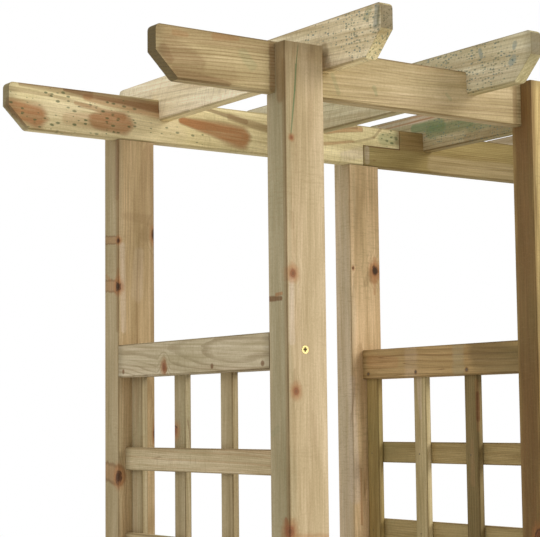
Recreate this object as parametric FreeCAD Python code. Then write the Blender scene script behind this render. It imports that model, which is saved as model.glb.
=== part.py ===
import FreeCAD, Part
import os
from math import cos, pi, sin

# Arbour seat: two lattice towers with planters at their feet, a slatted bench between them and a
# flat roof of beams and rafters over the whole width. All sizes are in millimetres.
# The origin is on the ground under the middle of the seat. +X runs along the beams, +Y towards
# the back, +Z up. The left half is modelled, and the right half is its mirror image.

# Overall plan
TOWER_WIDTH = 560.0          # a tower, over its posts, along X
TOWER_DEPTH = 515.0          # a tower, over its posts, along Y
SEAT_OPENING = 1200.0        # clear width between the towers

# Posts
POST_WIDTH = 70.0            # along X
POST_THICKNESS = 45.0        # along Y
POST_LENGTH = 2030.0
POST_EASE = 2.5              # radius of the eased long edges

# Roof timbers
ROOF_DEPTH = 75.0            # height of a beam or rafter
ROOF_THICKNESS = 22.0
ROOF_EASE = 2.5
BEAM_OVERHANG = 200.0        # past the outer faces of the outer posts
RAFTER_OVERHANG = 120.0      # past the front and back faces of the posts
OUTER_RAFTER_BACK = 88.0     # the outermost two stop shorter behind the back posts
BEAM_SEAT = 72.0             # height of the housing that a post has for a beam
BEAM_LAP = 88.0              # length of the half-lap that joins two lengths of beam
RAFTER_RISE = 39.0           # top of a rafter above the top of a beam
END_CUT_LENGTH = 37.0        # the slanting cut under each free end
END_CUT_HEIGHT = 37.0
NOSE_RADIUS = 9.0            # rounded upper corner of each free end
FIRST_RAFTER = 80.0          # outer face of a tower to the first rafter
SECOND_RAFTER = 372.0
THIRD_RAFTER = 672.0         # the first one on the middle beam
MIDDLE_RAFTERS = 4           # rafters on the middle beam, evenly spaced

# Lattice panels
RAIL_THICKNESS = 45.0        # across the panel
RAIL_HEIGHT = 53.0
RAIL_EASE = 2.0
TOP_RAIL_TOP = 1615.0        # top of the upper rail above the ground
LATH_THICKNESS = 12.0
UPRIGHT_WIDTH = 32.0
UPRIGHT_COUNT = 4
CROSS_HEIGHT = 37.0
CROSS_PITCH = 138.0
CROSS_COUNT = 7
CROSS_FIRST_GAP = 114.0      # rail to the nearest cross lath, at the top and at the bottom
LATH_INSET = 13.0            # face of the rail to the face of the cross laths
LATH_EASE = 1.5
GROOVE_DEPTH = 20.0          # groove in a rail that takes the ends of the uprights

# Planters
BOARD_THICKNESS = 18.0
BOARD_COUNT = 4              # boards in a wall
BOARD_GAP = 2.0
BOARD_HOUSING = 10.0         # how far a board's end goes into its post
BOARD_EASE = 1.5
GROUND_GAP = 26.0            # ground to the lowest board
FLOOR_BEARER = 32.0          # square section
FLOOR_BEARER_BASE = 58.0     # ground to the underside of a bearer
FLOOR_SLATS = 5
FLOOR_SLAT_GAP = 9.0

# Bench
SEAT_HEIGHT = 450.0          # ground to the top of the slats
SEAT_SLATS = 5
SEAT_SLAT_THICKNESS = 20.0
SEAT_SLAT_GAP = 6.0
SEAT_OVERHANG = 16.0         # seat in front of the posts
SEAT_BACK_GAP = 12.0         # last slat to the backrest
SEAT_END_GAP = 2.0           # slat end to the post beside it
FRAME_THICKNESS = 28.0
FRAME_DEPTH = 70.0
LEG_WIDTH = 70.0
SEAT_EASE = 2.5

# Backrest
BACK_BOTTOM = 520.0          # ground to the underside of the lower rail
BACK_TOP = 960.0             # ground to the top of the upper rail
BACK_SLATS = 9
BACK_SLAT_WIDTH = 60.0
BACK_SLAT_THICKNESS = 14.0
BACK_HOUSING = 12.0          # depth of the groove for the slats

# Fasteners
SCREW_HEAD_RADIUS = 6.0
SCREW_HEAD_DEPTH = 3.5
SCREW_RADIUS = 2.6
SCREW_TIP_RADIUS = 0.8       # blunt end of the point
SCREW_TIP_LENGTH = 6.0
LONG_SCREW = 80.0
SHORT_SCREW = 40.0
SCREW_SIDES = 6              # flat sides that stand for the round shank
HOLE_CLEARANCE = 0.3         # round a screw, on the radius
RAIL_SCREW_INSET = 31.0      # face of a rail to its screws

# Places that follow from the sizes
HALF_WIDTH = SEAT_OPENING / 2 + TOWER_WIDTH
FRONT = -TOWER_DEPTH / 2
BACK = TOWER_DEPTH / 2
OUTER_FACE = -HALF_WIDTH
INNER_FACE = -SEAT_OPENING / 2
BEAM_BOTTOM = POST_LENGTH - BEAM_SEAT
BEAM_TOP = BEAM_BOTTOM + ROOF_DEPTH
RAFTER_TOP = BEAM_TOP + RAFTER_RISE
RAFTER_BOTTOM = RAFTER_TOP - ROOF_DEPTH
HALVING = (BEAM_TOP - RAFTER_BOTTOM) / 2
BEAM_FRONT_Y = FRONT + POST_THICKNESS - ROOF_THICKNESS
BEAM_BACK_Y = BACK - POST_THICKNESS
LAP_START = INNER_FACE - POST_WIDTH / 2
LAP_END = LAP_START + BEAM_LAP
TOP_RAIL_BASE = TOP_RAIL_TOP - RAIL_HEIGHT
FIRST_CROSS_TOP = TOP_RAIL_BASE - CROSS_FIRST_GAP
LAST_CROSS_BASE = FIRST_CROSS_TOP - (CROSS_COUNT - 1) * CROSS_PITCH - CROSS_HEIGHT
BOTTOM_RAIL_TOP = LAST_CROSS_BASE - CROSS_FIRST_GAP
BOTTOM_RAIL_BASE = BOTTOM_RAIL_TOP - RAIL_HEIGHT
UPRIGHT_INSET = LATH_INSET + LATH_THICKNESS
SEAT_DEPTH = SEAT_OVERHANG + TOWER_DEPTH - POST_THICKNESS - SEAT_BACK_GAP
SEAT_SLAT_WIDTH = (SEAT_DEPTH - (SEAT_SLATS - 1) * SEAT_SLAT_GAP) / SEAT_SLATS
FRAME_TOP = SEAT_HEIGHT - SEAT_SLAT_THICKNESS
FRAME_BASE = FRAME_TOP - FRAME_DEPTH
FLOOR_BASE = FLOOR_BEARER_BASE + FLOOR_BEARER

pieces = {}
cutters = {}


def block(x, y, z):
    """A plain box between the low and high values given for each axis."""
    corner = FreeCAD.Vector(x[0], y[0], z[0])
    return Part.makeBox(x[1] - x[0], y[1] - y[0], z[1] - z[0], corner)


def long_edges(shape, axis):
    """The straight edges of a shape that run along an axis given as 0, 1 or 2."""
    found = []
    for edge in shape.Edges:
        ends = [vertex.Point for vertex in edge.Vertexes]
        if len(ends) == 2:
            run = ends[1] - ends[0]
            if abs(run[axis]) > 0.999 * run.Length:
                found.append(edge)
    return found


def timber(x, y, z, axis, ease):
    """A planed length of wood along an axis, with its four long edges taken off."""
    shape = block(x, y, z)
    return shape.makeChamfer(ease, long_edges(shape, axis))


def span(start, size):
    """The low and high value of something that starts at a place and has a size."""
    return (start, start + size)


def spread(low, high, width, count):
    """Starts of equal widths set evenly from low to high, the first and last at the ends."""
    step = (high - low - width) / (count - 1)
    return [low + index * step for index in range(count)]


def shape_free_end(shape, tip, inward, axis, across, base):
    """Cut the slanting underside and round the upper corner at a free end of a roof timber.

    The timber runs along an axis, and the tip of its end is at a place on that axis.
    """
    top = base + ROOF_DEPTH
    thickness = FreeCAD.Vector(0, 0, 0)
    thickness[1 - axis] = ROOF_THICKNESS

    def point(inset, up):
        place = FreeCAD.Vector(across, across, up)
        place[axis] = tip + inward * inset
        return place

    slant = [point(0, base), point(END_CUT_LENGTH, base), point(0, base + END_CUT_HEIGHT),
             point(0, base)]
    wedge = Part.Face(Part.makePolygon(slant)).extrude(thickness)
    square = [point(0, top - NOSE_RADIUS), point(0, top), point(NOSE_RADIUS, top),
              point(NOSE_RADIUS, top - NOSE_RADIUS), point(0, top - NOSE_RADIUS)]
    corner = Part.Face(Part.makePolygon(square)).extrude(thickness)
    centre = point(NOSE_RADIUS, top - NOSE_RADIUS)
    corner = corner.cut(Part.makeCylinder(NOSE_RADIUS, ROOF_THICKNESS, centre, thickness))
    return shape.cut([wedge, corner])


def rafter_places():
    """Low X of each rafter on the left half, and then of all of them, from left to right."""
    outer = [OUTER_FACE + FIRST_RAFTER, OUTER_FACE + SECOND_RAFTER]
    third = OUTER_FACE + THIRD_RAFTER
    middle = spread(third, -third, ROOF_THICKNESS, MIDDLE_RAFTERS)
    return outer, middle, outer + middle + [-x - ROOF_THICKNESS for x in reversed(outer)]


def add(name, solids):
    """Keep the solids of a node, given as one solid or a list."""
    pieces[name] = solids if isinstance(solids, list) else [solids]


def mirrored(solids):
    """The same solids on the other side of the seat."""
    origin = FreeCAD.Vector(0, 0, 0)
    return [solid.mirror(origin, FreeCAD.Vector(1, 0, 0)) for solid in solids]


def add_both(name, solids):
    """Keep a left-hand node and its right-hand twin."""
    add(name, solids)
    add(name.replace("left", "right"), mirrored(pieces[name]))


def make_post(x, y, back):
    """A post with its beam housing at the top.

    The low corner of its section is at x, y. A front post has the housing in its back face and a
    back post in its front face.
    """
    shape = block(span(x, POST_WIDTH), span(y, POST_THICKNESS), (0, POST_LENGTH))
    shape = shape.makeFillet(POST_EASE, long_edges(shape, 2))
    beam_y = BEAM_BACK_Y if back else BEAM_FRONT_Y
    housing = block(span(x, POST_WIDTH), span(beam_y, ROOF_THICKNESS), (BEAM_BOTTOM, POST_LENGTH))
    return shape.cut(housing)


def groove_post(shape, x, y, outer, back):
    """Cut the two grooves at a post's foot that hold the ends of the planter's wall boards."""
    inner_x = x + POST_WIDTH - BOARD_HOUSING if outer else x
    inner_y = y if back else y + POST_THICKNESS - BOARD_HOUSING
    wall_x = span(inner_x, BOARD_HOUSING)
    wall_y = span(y + (POST_THICKNESS - BOARD_THICKNESS) / 2, BOARD_THICKNESS)
    side_x = span(x + (POST_WIDTH - BOARD_THICKNESS) / 2, BOARD_THICKNESS)
    side_y = span(inner_y, BOARD_HOUSING)
    height = (GROUND_GAP, BOTTOM_RAIL_BASE)
    return shape.cut(block(wall_x, wall_y, height)).cut(block(side_x, side_y, height))


def make_posts():
    """The four posts of a tower."""
    for depth_name, y, back in (("front", FRONT, False), ("back", BACK - POST_THICKNESS, True)):
        for side_name, x, outer in (("outer", OUTER_FACE, True),
                                    ("inner", INNER_FACE - POST_WIDTH, False)):
            post = groove_post(make_post(x, y, back), x, y, outer, back)
            add_both("post_left_%s_%s" % (side_name, depth_name), post)


def make_beams():
    """Front and back beams, each in three lengths joined by half-laps over the inner posts."""
    middle_line = BEAM_BOTTOM + ROOF_DEPTH / 2
    height = (BEAM_BOTTOM, BEAM_TOP)
    tip = OUTER_FACE - BEAM_OVERHANG
    outer, middle, _ = rafter_places()
    for name, y in (("front", BEAM_FRONT_Y), ("back", BEAM_BACK_Y)):
        depth = span(y, ROOF_THICKNESS)
        left = timber((tip, LAP_END), depth, height, 0, ROOF_EASE)
        left = shape_free_end(left, tip, 1, 0, y, BEAM_BOTTOM)
        left = left.cut(block((LAP_START, LAP_END), depth, (BEAM_BOTTOM, middle_line)))
        centre = timber((LAP_START, -LAP_START), depth, height, 0, ROOF_EASE)
        for lap in ((LAP_START, LAP_END), (-LAP_END, -LAP_START)):
            centre = centre.cut(block(lap, depth, (middle_line, BEAM_TOP)))
        notch = (BEAM_TOP - HALVING, BEAM_TOP)
        for x in outer:
            left = left.cut(block(span(x, ROOF_THICKNESS), depth, notch))
        for x in middle:
            centre = centre.cut(block(span(x, ROOF_THICKNESS), depth, notch))
        add_both("beam_%s_left" % name, left)
        add("beam_%s_middle" % name, centre)


def make_rafters():
    """Rafters halved over both beams, numbered from the left."""
    places = rafter_places()[2]
    start = FRONT - RAFTER_OVERHANG
    for index, x in enumerate(places):
        outermost = x in (places[0], places[-1])
        end = BACK + (OUTER_RAFTER_BACK if outermost else RAFTER_OVERHANG)
        shape = timber(span(x, ROOF_THICKNESS), (start, end), (RAFTER_BOTTOM, RAFTER_TOP), 1,
                       ROOF_EASE)
        shape = shape_free_end(shape, start, 1, 1, x, RAFTER_BOTTOM)
        shape = shape_free_end(shape, end, -1, 1, x, RAFTER_BOTTOM)
        for y in (BEAM_FRONT_Y, BEAM_BACK_Y):
            shape = shape.cut(block(span(x, ROOF_THICKNESS), span(y, ROOF_THICKNESS),
                                    (RAFTER_BOTTOM, RAFTER_BOTTOM + HALVING)))
        add("rafter_%d" % (index + 1), shape)


def panel_x(inner, inset, thickness):
    """X span of a layer of a lattice panel, set in from the side face of its tower."""
    if inner:
        return (INNER_FACE - inset - thickness, INNER_FACE - inset)
    return (OUTER_FACE + inset, OUTER_FACE + inset + thickness)


def upright_places():
    """Low Y of each upright lath between the posts of a panel."""
    return spread(FRONT + POST_THICKNESS, BACK - POST_THICKNESS, UPRIGHT_WIDTH, UPRIGHT_COUNT)


def make_lattices():
    """Two lattice panels in a tower: grooved rails, uprights in them and cross laths outside."""
    between = (FRONT + POST_THICKNESS, BACK - POST_THICKNESS)
    for name, inner in (("outer", False), ("inner", True)):
        rail_x = panel_x(inner, 0, RAIL_THICKNESS)
        groove_x = panel_x(inner, UPRIGHT_INSET, LATH_THICKNESS)
        top = timber(rail_x, between, (TOP_RAIL_BASE, TOP_RAIL_TOP), 1, RAIL_EASE)
        bottom = timber(rail_x, between, (BOTTOM_RAIL_BASE, BOTTOM_RAIL_TOP), 1, RAIL_EASE)
        upper_groove = span(TOP_RAIL_BASE, GROOVE_DEPTH)
        lower_groove = (BOTTOM_RAIL_TOP - GROOVE_DEPTH, BOTTOM_RAIL_TOP)
        add_both("top_rail_left_%s" % name, top.cut(block(groove_x, between, upper_groove)))
        add_both("bottom_rail_left_%s" % name, bottom.cut(block(groove_x, between, lower_groove)))
        uprights = []
        for y in upright_places():
            uprights.append(timber(groove_x, span(y, UPRIGHT_WIDTH),
                                 (lower_groove[0], upper_groove[1]), 2, LATH_EASE))
        add_both("lattice_uprights_left_%s" % name, uprights)
        crosses = []
        for index in range(CROSS_COUNT):
            cross_top = FIRST_CROSS_TOP - index * CROSS_PITCH
            crosses.append(timber(panel_x(inner, LATH_INSET, LATH_THICKNESS), between,
                                (cross_top - CROSS_HEIGHT, cross_top), 1, LATH_EASE))
        add_both("lattice_cross_laths_left_%s" % name, crosses)


def wall_boards(x, y, axis):
    """Boards stacked from the ground gap to the underside of the rails."""
    height = (BOTTOM_RAIL_BASE - GROUND_GAP - (BOARD_COUNT - 1) * BOARD_GAP) / BOARD_COUNT
    boards = []
    for index in range(BOARD_COUNT):
        base = GROUND_GAP + index * (height + BOARD_GAP)
        boards.append(timber(x, y, (base, base + height), axis, BOARD_EASE))
    return boards


def make_planters():
    """Planter in the foot of a tower: four walls housed in the posts, rim rails and a floor."""
    long_x = (OUTER_FACE + POST_WIDTH - BOARD_HOUSING, INNER_FACE - POST_WIDTH + BOARD_HOUSING)
    long_y = (FRONT + POST_THICKNESS - BOARD_HOUSING, BACK - POST_THICKNESS + BOARD_HOUSING)
    set_y = (POST_THICKNESS - BOARD_THICKNESS) / 2
    set_x = (POST_WIDTH - BOARD_THICKNESS) / 2
    front_y = span(FRONT + set_y, BOARD_THICKNESS)
    back_y = span(BACK - set_y - BOARD_THICKNESS, BOARD_THICKNESS)
    outer_x = span(OUTER_FACE + set_x, BOARD_THICKNESS)
    inner_x = span(INNER_FACE - set_x - BOARD_THICKNESS, BOARD_THICKNESS)
    add_both("planter_front_boards_left", wall_boards(long_x, front_y, 0))
    add_both("planter_back_boards_left", wall_boards(long_x, back_y, 0))
    add_both("planter_outer_boards_left", wall_boards(outer_x, long_y, 1))
    add_both("planter_inner_boards_left", wall_boards(inner_x, long_y, 1))

    rim_x = (OUTER_FACE + POST_WIDTH, INNER_FACE - POST_WIDTH)
    rim_z = (BOTTOM_RAIL_BASE, BOTTOM_RAIL_TOP)
    rims = []
    for y in (FRONT, BACK - POST_THICKNESS):
        rims.append(timber(rim_x, span(y, POST_THICKNESS), rim_z, 0, RAIL_EASE))
    add_both("planter_rim_rails_left", rims)

    floor_y = (FRONT + POST_THICKNESS, BACK - POST_THICKNESS)
    bearer_z = (FLOOR_BEARER_BASE, FLOOR_BASE)
    floor = []
    for low in (outer_x[1], inner_x[0] - FLOOR_BEARER):
        floor.append(timber(span(low, FLOOR_BEARER), floor_y, bearer_z, 1, BOARD_EASE))
    room = floor_y[1] - floor_y[0] - (FLOOR_SLATS - 1) * FLOOR_SLAT_GAP
    slat = room / FLOOR_SLATS
    for index in range(FLOOR_SLATS):
        low = floor_y[0] + index * (slat + FLOOR_SLAT_GAP)
        floor.append(timber((outer_x[1], inner_x[0]), span(low, slat),
                          span(FLOOR_BASE, BOARD_THICKNESS), 0, BOARD_EASE))
    add_both("planter_floor_left", floor)


def seat_slat_places():
    """Low Y of each seat slat, from the front edge."""
    step = SEAT_SLAT_WIDTH + SEAT_SLAT_GAP
    return [FRONT - SEAT_OVERHANG + index * step for index in range(SEAT_SLATS)]


def make_bench():
    """Slatted seat on a frame that is carried by the inner posts and two centre legs."""
    frame_z = (FRAME_BASE, FRAME_TOP)
    rail_x = (INNER_FACE + FRAME_THICKNESS, -INNER_FACE - FRAME_THICKNESS)
    front_y = span(FRONT, FRAME_THICKNESS)
    back_y = (BACK - FRAME_THICKNESS, BACK)
    add("seat_rails", [timber(rail_x, y, frame_z, 0, SEAT_EASE) for y in (front_y, back_y)])
    end = timber(span(INNER_FACE, FRAME_THICKNESS), (FRONT, BACK), frame_z, 1, SEAT_EASE)
    middle = timber(span(-FRAME_THICKNESS / 2, FRAME_THICKNESS), (front_y[1], back_y[0]),
                    frame_z, 1, SEAT_EASE)
    add("seat_bearers", [end, middle] + mirrored([end]))
    legs = []
    for y in (FRONT, BACK - POST_THICKNESS):
        legs.append(timber(span(-LEG_WIDTH / 2, LEG_WIDTH), span(y, POST_THICKNESS),
                           (0, FRAME_BASE), 2, SEAT_EASE))
    add("seat_centre_legs", legs)
    slats = []
    for y in seat_slat_places():
        slats.append(timber((INNER_FACE + SEAT_END_GAP, -INNER_FACE - SEAT_END_GAP),
                            span(y, SEAT_SLAT_WIDTH), (FRAME_TOP, SEAT_HEIGHT), 0, SEAT_EASE))
    add("seat_slats", slats)


def make_backrest():
    """Two grooved rails between the inner back posts, with upright slats housed in them."""
    rail_x = (INNER_FACE, -INNER_FACE)
    rail_y = (BACK - POST_THICKNESS, BACK)
    slat_y = span(rail_y[0] + (POST_THICKNESS - BACK_SLAT_THICKNESS) / 2, BACK_SLAT_THICKNESS)
    low = timber(rail_x, rail_y, span(BACK_BOTTOM, RAIL_HEIGHT), 0, RAIL_EASE)
    high = timber(rail_x, rail_y, (BACK_TOP - RAIL_HEIGHT, BACK_TOP), 0, RAIL_EASE)
    low_top = BACK_BOTTOM + RAIL_HEIGHT
    high_base = BACK_TOP - RAIL_HEIGHT
    low = low.cut(block(rail_x, slat_y, (low_top - BACK_HOUSING, low_top)))
    high = high.cut(block(rail_x, slat_y, span(high_base, BACK_HOUSING)))
    add("backrest_bottom_rail", low)
    add("backrest_top_rail", high)
    gap = (SEAT_OPENING - BACK_SLATS * BACK_SLAT_WIDTH) / (BACK_SLATS + 1)
    slats = []
    for index in range(BACK_SLATS):
        x = INNER_FACE + gap + index * (BACK_SLAT_WIDTH + gap)
        slats.append(timber(span(x, BACK_SLAT_WIDTH), slat_y,
                          (low_top - BACK_HOUSING, high_base + BACK_HOUSING), 2, LATH_EASE))
    add("backrest_slats", slats)


def faceted(stations):
    """A solid along +Z with six flat sides, through radius and distance pairs in order."""
    rings = []
    for radius, z in stations:
        turns = [index * 2 * pi / SCREW_SIDES for index in range(SCREW_SIDES + 1)]
        rings.append([FreeCAD.Vector(radius * cos(a), radius * sin(a), z) for a in turns])
    faces = [Part.Face(Part.makePolygon(rings[0])), Part.Face(Part.makePolygon(rings[-1]))]
    for low, high in zip(rings, rings[1:]):
        for index in range(SCREW_SIDES):
            side = [low[index], low[index + 1], high[index + 1], high[index], low[index]]
            faces.append(Part.Face(Part.makePolygon(side)))
    return Part.makeSolid(Part.makeShell(faces))


def screw(length, spare):
    """A countersunk screw along +Z with its head's face at the origin, or the hole for it.

    The hole is wider by the spare radius and as deep as the screw is long, so that the blunt
    tip rests on its bottom.
    """
    neck = length - SCREW_TIP_LENGTH
    return faceted([(SCREW_HEAD_RADIUS + spare, 0), (SCREW_RADIUS + spare, SCREW_HEAD_DEPTH),
                    (SCREW_RADIUS + spare, neck), (SCREW_TIP_RADIUS + spare, length)])


def drive(node, place, direction, through):
    """Put a screw at a place, pointing in a direction, and note the holes that it needs."""
    length = LONG_SCREW if node == "long_screws" else SHORT_SCREW
    shape, hole = screw(length, 0), screw(length, HOLE_CLEARANCE)
    turn = FreeCAD.Rotation(FreeCAD.Vector(0, 0, 1), FreeCAD.Vector(*direction))
    placement = FreeCAD.Placement(FreeCAD.Vector(*place), turn)
    shape.Placement = placement
    hole.Placement = placement
    pieces.setdefault(node, []).append(shape)
    for name in through:
        cutters.setdefault(name, []).append(hole)


def drive_both(node, place, direction, through):
    """The same screw in the left half and in the right half."""
    drive(node, place, direction, through)
    x, y, z = place
    other = [name.replace("left", "right") for name in through]
    drive(node, (-x, y, z), (-direction[0], direction[1], direction[2]), other)


def drive_rail_screws():
    """One screw through the post into each end of each lattice rail."""
    for name, x in (("outer", OUTER_FACE + RAIL_SCREW_INSET),
                    ("inner", INNER_FACE - RAIL_SCREW_INSET)):
        for rail, z in (("top_rail", (TOP_RAIL_TOP + TOP_RAIL_BASE) / 2),
                        ("bottom_rail", (BOTTOM_RAIL_TOP + BOTTOM_RAIL_BASE) / 2)):
            for end, y, way in (("front", FRONT, 1), ("back", BACK, -1)):
                through = ["post_left_%s_%s" % (name, end), "%s_left_%s" % (rail, name)]
                drive_both("long_screws", (x, y, z), (0, way, 0), through)


def drive_rafter_screws():
    """A screw down through each rafter into each beam."""
    outer, middle, every = rafter_places()
    for index, x in enumerate(every):
        side = "middle" if x in middle else ("left" if x in outer else "right")
        for end, y in (("front", BEAM_FRONT_Y), ("back", BEAM_BACK_Y)):
            place = (x + ROOF_THICKNESS / 2, y + ROOF_THICKNESS / 2, RAFTER_TOP)
            through = ["rafter_%d" % (index + 1), "beam_%s_%s" % (end, side)]
            drive("long_screws", place, (0, 0, -1), through)


def drive_beam_screws():
    """Two screws between a beam and each post, driven forwards from behind.

    At the front they go through the beam into the post, and at the back through the post.
    """
    quarter = ROOF_DEPTH / 4
    for end, y in (("front", BEAM_FRONT_Y + ROOF_THICKNESS), ("back", BACK)):
        for z in (BEAM_BOTTOM + quarter, BEAM_TOP - quarter):
            through = ["post_left_outer_%s" % end, "beam_%s_left" % end]
            drive_both("short_screws", (OUTER_FACE + POST_WIDTH / 2, y, z), (0, -1, 0), through)
        for x, z, name in ((LAP_START + POST_WIDTH / 4, BEAM_BOTTOM + quarter, "middle"),
                           (LAP_START - POST_WIDTH / 4, BEAM_TOP - quarter, "left")):
            through = ["post_left_inner_%s" % end, "beam_%s_%s" % (end, name)]
            drive_both("short_screws", (x, y, z), (0, -1, 0), through)


def bore_holes():
    """Cut each hole from the solids that it passes through."""
    for name, holes in cutters.items():
        bored = []
        for solid in pieces[name]:
            near = [hole for hole in holes if solid.BoundBox.intersect(hole.BoundBox)]
            bored.append(solid.cut(near).Solids[0] if near else solid)
        pieces[name] = bored


def export():
    """Write one STEP file for each node."""
    os.makedirs("parts", exist_ok=True)
    for name, solids in pieces.items():
        shape = solids[0] if len(solids) == 1 else Part.makeCompound(solids)
        shape.exportStep("parts/%s.step" % name)


make_posts()
make_beams()
make_rafters()
make_lattices()
make_planters()
make_bench()
make_backrest()
drive_rail_screws()
drive_rafter_screws()
drive_beam_screws()
bore_holes()
export()
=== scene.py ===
from collections import namedtuple
from math import cos, pi, radians, sin

import bmesh
import bpy
import numpy as np
from bpy.props import FloatProperty, FloatVectorProperty, PointerProperty
from mathutils import Matrix, Vector


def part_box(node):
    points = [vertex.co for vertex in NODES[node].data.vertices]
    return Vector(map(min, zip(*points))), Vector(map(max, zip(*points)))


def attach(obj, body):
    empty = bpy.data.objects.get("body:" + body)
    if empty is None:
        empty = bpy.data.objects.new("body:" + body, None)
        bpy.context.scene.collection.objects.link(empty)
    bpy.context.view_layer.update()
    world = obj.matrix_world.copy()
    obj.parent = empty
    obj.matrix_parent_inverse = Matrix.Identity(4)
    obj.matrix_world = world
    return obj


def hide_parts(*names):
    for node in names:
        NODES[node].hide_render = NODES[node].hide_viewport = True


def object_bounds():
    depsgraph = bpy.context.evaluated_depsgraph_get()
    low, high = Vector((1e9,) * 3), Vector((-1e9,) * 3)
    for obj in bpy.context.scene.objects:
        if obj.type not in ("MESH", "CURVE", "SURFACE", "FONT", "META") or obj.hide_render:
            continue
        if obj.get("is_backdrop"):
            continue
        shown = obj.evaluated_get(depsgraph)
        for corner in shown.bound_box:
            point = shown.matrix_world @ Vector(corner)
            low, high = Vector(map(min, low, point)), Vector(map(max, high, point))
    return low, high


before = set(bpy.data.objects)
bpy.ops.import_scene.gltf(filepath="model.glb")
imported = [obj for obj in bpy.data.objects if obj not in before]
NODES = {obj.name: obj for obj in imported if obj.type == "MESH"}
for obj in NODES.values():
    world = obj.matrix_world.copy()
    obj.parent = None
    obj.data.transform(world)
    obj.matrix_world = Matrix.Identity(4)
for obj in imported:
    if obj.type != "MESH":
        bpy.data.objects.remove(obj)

bl_info = {
    "name": "Arbour seat",
    "version": (1, 0, 0),
    "blender": (4, 5, 0),
    "location": "View3D > Sidebar > Arbour",
    "description": "Dresses the arbour seat in treated softwood and lights it as in a studio",
    "category": "Object",
}

PANELS = ("left_outer", "left_inner", "right_inner", "right_outer")

# Fasteners, in metres
SCREW_RADIUS = 0.0058
SEAT_SCREW_RADIUS = 0.0042
NAIL_RADIUS = 0.0024
BRAD_RADIUS = 0.0013
NAIL_EDGE = 0.009            # middle of a nail to the edge of its rail
SCREW_LIFT = 0.0001          # head in front of the wood
NAIL_LIFT = 0.0002
BRAD_OFFSET = (0.0, 0.003, -0.002)    # from the middle of the crossing
CROSS_BAR, CROSS_REACH = 0.17, 0.62   # half width and length of a cross, to the head's radius
NECK, CONE = 0.46, 0.7       # neck's radius and depth under the head, to the head's radius
RECESS_DIRT = (0.045, 0.032, 0.014)
NAIL_WORN = (0.20, 0.16, 0.11)

# Wood
KNOT_PITCH = 0.21            # usual distance between branches, along a board
SAWN_DROP, PLANED_DROP = 0.0030, 0.0052   # pitch of dried drops on sawn and planed wood
SAWN_CUT_AND_UNDERSIDE_LIGHT = (0.83, 0.79, 0.56)    # colour of a rafter's slanting cuts, also laid on its underside as painted light from below
WORN_EDGE = (0.42, 0.36, 0.25)   # colour left on edges darkened by handling
GRAIN_DEPTH = 0.0008             # of the relief on a board
RIGHT_TOWER = (0.94, 0.93, 0.88)      # its tint, against the left tower's
SAWN_GREY = 0.8              # least share of sawn grey on a rafter
END_TONES = {"rafter": 0.70, "beam_back": 0.68, "beam_front": 0.97}
KNOWN_BOARD_KNOTS = 0.25     # size of knots by chance on a board whose log is in the table
FLAT_ANGLE, SHARP_ANGLE = radians(0.5), radians(40)

# Studio: place, target and size of each lamp
KEY_LAMP = ((2.6, -5.6, 4.0), (-0.4, 0.0, 1.3), 3.0)
SIDE_LAMP = ((-5.2, 0.4, 3.6), (-0.6, 0.0, 1.4), 2.6)
FLOOR_RADIUS = 30.0
FLOOR_FADE = (2.0, 7.0)      # distances between which the floor fades into the background
FLOOR_GAP = 0.0005           # between the feet and the floor
FLOOR_GREY = 0.86

# Camera, fitted to the edges of the timbers in the photograph, with its place in metres
IMAGE_WIDTH = 540
FOCAL_PIXELS = 1576.56
SENSOR_WIDTH = 36.0
CAMERA_PLACE = Vector((-2.4665, -2.0383, 1.4923))
CAMERA_YAW = radians(35.658)
CAMERA_PITCH = radians(5.434)
CAMERA_ROLL = radians(-0.622)


def colour(name, text, default):
    """A colour that the user can change."""
    return FloatVectorProperty(name=name, description=text, default=default, size=3,
                               min=0.0, max=1.0, subtype="COLOR")


def length(name, text, default, low, high):
    """A length that the user can change."""
    return FloatProperty(name=name, description=text, default=default, min=low, max=high,
                         subtype="DISTANCE")


def power(name, text, default):
    """A lamp's power that the user can change."""
    return FloatProperty(name=name, description=text, default=default, min=0.0, unit="POWER")


class ArbourWood(bpy.types.PropertyGroup):
    # Several of these colours also serve rows of the MARKS table that are painted shade, painted
    # shadow and painted light.
    early: colour("Early wood", "Pale wood between the ring lines", (0.60, 0.46, 0.265))
    late: colour("Late wood", "Darker line at the end of each year's growth", (0.27, 0.17, 0.062))
    heart: colour("Heartwood", "Reddish wood near the middle of the log", (0.42, 0.180, 0.062))
    umber: colour("Dark streak", "Darkest heartwood along an edge", (0.18, 0.075, 0.022))
    knot: colour("Knot", "Red-brown middle of a knot", (0.29, 0.105, 0.042))
    bark: colour("Knot rim", "Nearly black rim of a dead knot", (0.055, 0.028, 0.014))
    brown: colour("Weathered wood", "Brown of damp and handling", (0.32, 0.20, 0.085))
    pale: colour("Fresh wood", "Pinkish white of freshly planed wood", (0.66, 0.52, 0.37))
    olive: colour("Stood outside", "Green-grey of wood that stood outside", (0.41, 0.355, 0.205))
    blue: colour("Blue stain", "Blue-grey where the preservative dried on sawn wood",
                 (0.20, 0.29, 0.29))
    green: colour("Preservative", "Green left by the pressure treatment", (0.17, 0.25, 0.105))
    speck: colour("Specks", "Dark green drops where the preservative dried",
                  (0.095, 0.125, 0.045))
    grey: colour("Sawn surface", "Pale grey-beige of wood that was sawn and not planed",
                 (0.63, 0.55, 0.39))
    end: colour("End grain", "Dark olive of the sawn ends", (0.120, 0.088, 0.034))
    ring_gap: length("Ring gap", "Width of one year's growth", 0.0044, 0.001, 0.02)
    seam: length("Worn edge", "Width taken off each cut edge", 0.0009, 0.0001, 0.003)


class ArbourMetal(bpy.types.PropertyGroup):
    plating: colour("Screw plating", "Yellow passivated steel", (0.80, 0.63, 0.25))
    nail: colour("Nail head", "Dull steel that has stained the wood round it",
                 (0.10, 0.075, 0.05))
    recess_depth: length("Recess depth", "Depth of the cross in a head", 0.0018, 0.0, 0.003)


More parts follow.
